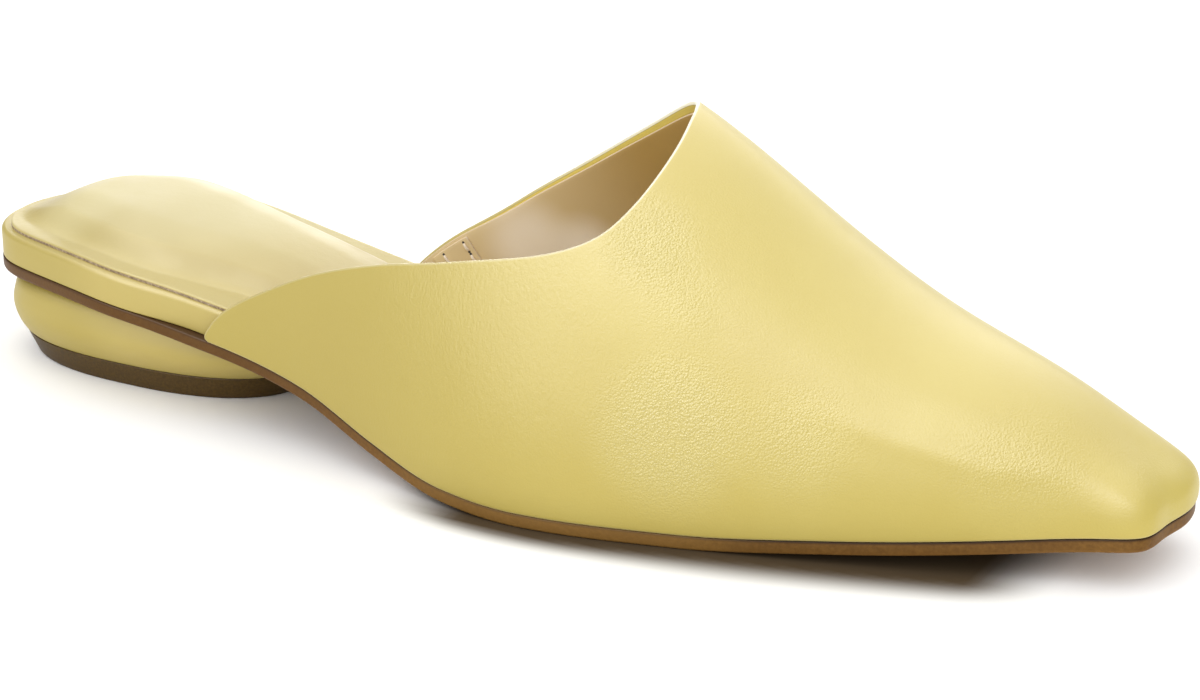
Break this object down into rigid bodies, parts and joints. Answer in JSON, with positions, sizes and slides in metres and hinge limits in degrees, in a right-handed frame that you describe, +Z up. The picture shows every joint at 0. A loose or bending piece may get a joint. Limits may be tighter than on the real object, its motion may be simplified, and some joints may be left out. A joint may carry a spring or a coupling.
{
  "type": "mule",
  "caption": "Pointed mule with a high vamp, open back, padded leather sock and low pebble heel, for the right foot.",
  "frame": {"origin": "on the ground, in the middle of the shoe's box", "axes": "+X points to the toe, +Y to the medial side, that of the other foot, and +Z up"},
  "size_m": [0.2656, 0.0808, 0.0711],
  "materials": {
    "upper_leather": "smooth butter yellow, satin",
    "sock_leather": "smooth pale cream yellow, soft satin",
    "lining_leather": "smooth tan, matt",
    "sole_leather": "brown, polished edge",
    "top_piece_rubber": "dark brown, matt",
    "thread": "twisted tan thread"
  },
  "bodies": {
    "root": {"upper": "upper_leather", "insole": "sock_leather", "midsole": "upper_leather", "outsole": "sole_leather", "heel": "upper_leather", "top_piece": "top_piece_rubber"}
  },
  "joints": []
}
